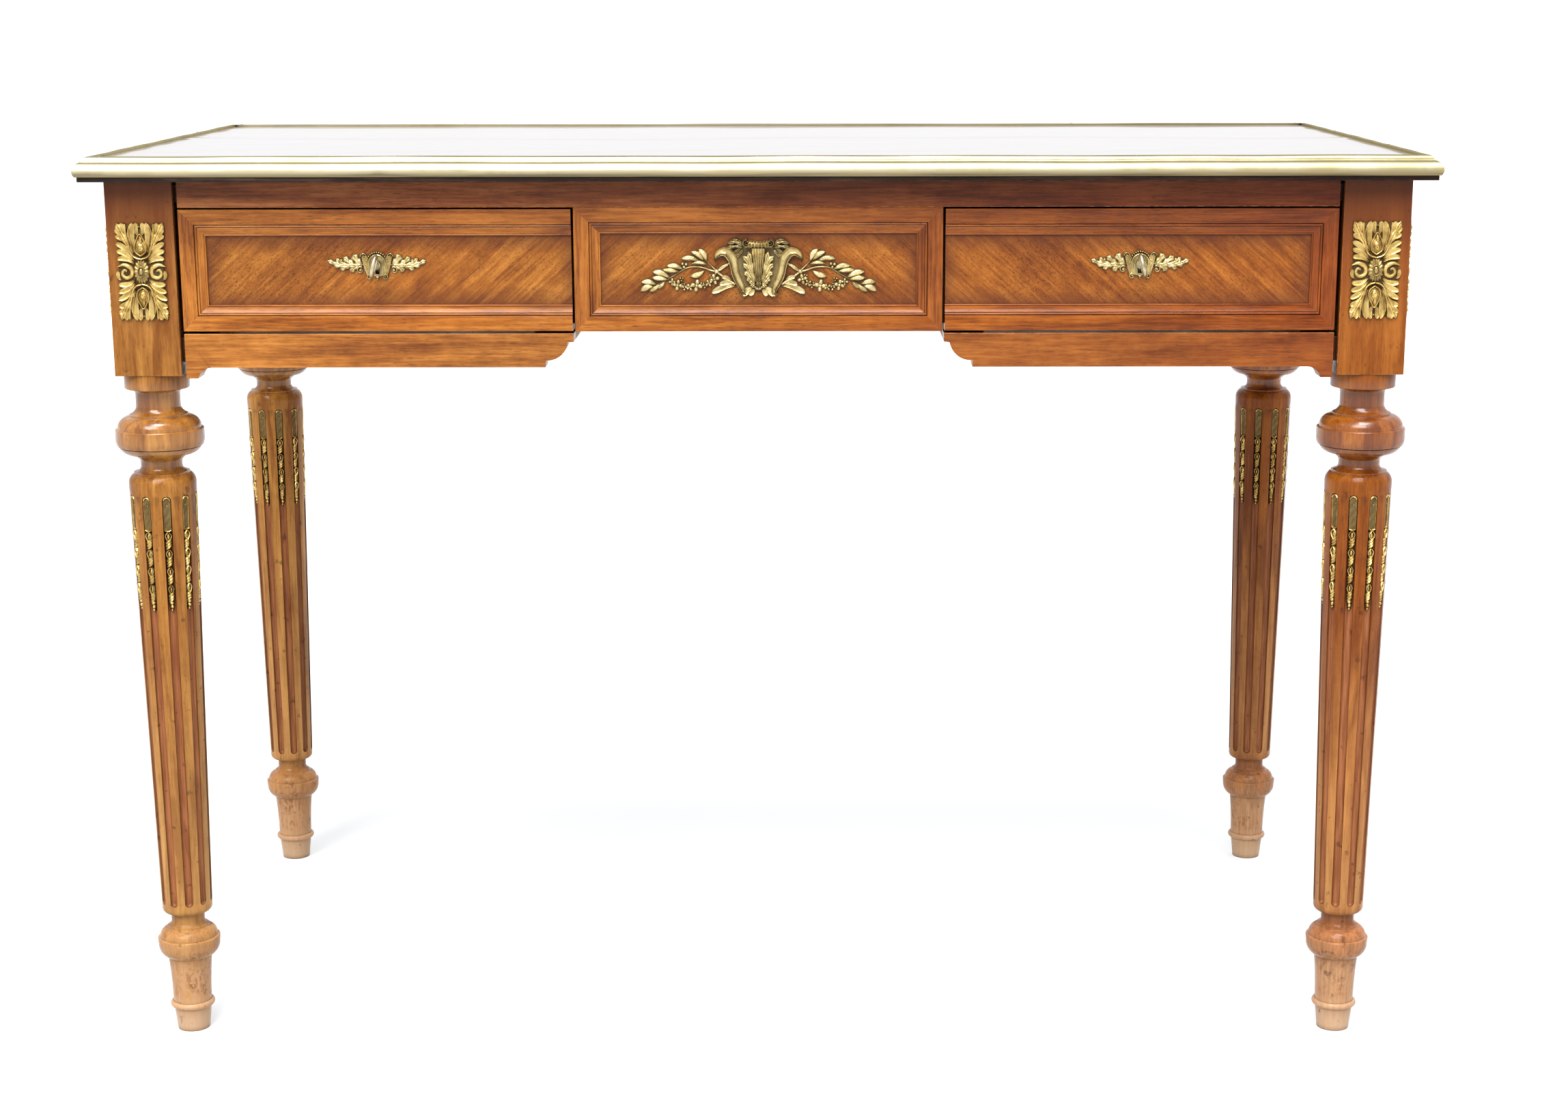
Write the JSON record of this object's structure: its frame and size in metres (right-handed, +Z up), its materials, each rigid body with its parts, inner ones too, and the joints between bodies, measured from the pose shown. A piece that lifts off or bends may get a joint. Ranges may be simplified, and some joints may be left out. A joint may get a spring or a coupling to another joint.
{
  "type": "writing desk",
  "caption": "Flat writing desk with brass-edged leather top, locking frieze drawers beside a fixed panel, gilt mounts, and turned, tapered, fluted legs.",
  "frame": {"origin": "on the floor under the middle of the top", "axes": "+Z up, +X to the right seen from the front, -Y out of the drawer fronts"},
  "size_m": [1.1, 0.573, 0.76],
  "materials": {
    "outer_wood": "french polished",
    "veneer": "french polished",
    "inner_wood": "raw",
    "gilt_bronze": "chased, worn gilding",
    "edge_brass": "aged, satin",
    "leather": "worn, satin",
    "lock_steel": "dull",
    "key_steel": "handled"
  },
  "bodies": {
    "carcass": {"apron_left": "outer_wood", "apron_right": "outer_wood", "back_frames": "outer_wood", "back_frieze": "outer_wood", "brass_edge_front": "edge_brass", "brass_edge_left": "edge_brass", "brass_edge_rear": "edge_brass", "brass_edge_right": "edge_brass", "centre_mount": "gilt_bronze", "centre_panel": "veneer", "centre_panel_frame": "outer_wood", "chandelles_front_left": "gilt_bronze", "chandelles_front_right": "gilt_bronze", "chandelles_rear_left": "gilt_bronze", "chandelles_rear_right": "gilt_bronze", "divider_left": "inner_wood", "divider_right": "inner_wood", "drawer_guides": "inner_wood", "drawer_kickers": "inner_wood", "drawer_stops": "inner_wood", "front_top_rail": "outer_wood", "glue_blocks": "inner_wood", "leg_front_left": "outer_wood", "leg_front_right": "outer_wood", "leg_rear_left": "outer_wood", "leg_rear_right": "outer_wood", "panel_cleats": "inner_wood", "plaques_front_left": "gilt_bronze", "plaques_front_right": "gilt_bronze", "plaques_rear_left": "gilt_bronze", "plaques_rear_right": "gilt_bronze", "runners_left": "inner_wood", "runners_right": "inner_wood", "side_frame_left": "outer_wood", "side_frame_right": "outer_wood", "side_frieze_left": "outer_wood", "side_frieze_right": "outer_wood", "top_board": "outer_wood", "writing_leather": "leather"},
    "left_drawer": {"drawer_left_back": "inner_wood", "drawer_left_bottom": "inner_wood", "drawer_left_frame": "outer_wood", "drawer_left_front": "veneer", "drawer_left_side_inner": "inner_wood", "drawer_left_side_outer": "inner_wood", "lock_left_case": "lock_steel", "escutcheon_left": "gilt_bronze"},
    "left_key": {"key_left": "key_steel"},
    "left_bolt": {"lock_left_bolt": "lock_steel"},
    "right_drawer": {"drawer_right_back": "inner_wood", "drawer_right_bottom": "inner_wood", "drawer_right_frame": "outer_wood", "drawer_right_front": "veneer", "drawer_right_side_inner": "inner_wood", "drawer_right_side_outer": "inner_wood", "lock_right_case": "lock_steel", "escutcheon_right": "gilt_bronze"},
    "right_key": {"key_right": "key_steel"},
    "right_bolt": {"lock_right_bolt": "lock_steel"}
  },
  "joints": [
    {"name": "left_drawer_slide", "type": "slide", "parent": "carcass", "child": "left_drawer", "axis": [0, -1, 0], "range_m": [0, 0.36]},
    {"name": "left_key_turn", "type": "hinge", "parent": "left_drawer", "child": "left_key", "pos_m": [-0.3117, -0.25, 0.672], "axis": [0, 1, 0], "range_deg": [0, 165.2]},
    {"name": "left_bolt_slide", "type": "slide", "parent": "left_drawer", "child": "left_bolt", "axis": [0, 0, 1], "range_m": [0, 0.0065]},
    {"name": "right_drawer_slide", "type": "slide", "parent": "carcass", "child": "right_drawer", "axis": [0, -1, 0], "range_m": [0, 0.36]},
    {"name": "right_key_turn", "type": "hinge", "parent": "right_drawer", "child": "right_key", "pos_m": [0.3117, -0.25, 0.672], "axis": [0, -1, 0], "range_deg": [0, 165.2]},
    {"name": "right_bolt_slide", "type": "slide", "parent": "right_drawer", "child": "right_bolt", "axis": [0, 0, 1], "range_m": [0, 0.0065]}
  ],
  "couplings": [
    {"joint": "left_key_turn", "follows": "left_bolt_slide", "rad_per_m": 443.05},
    {"joint": "right_key_turn", "follows": "right_bolt_slide", "rad_per_m": 443.05}
  ]
}
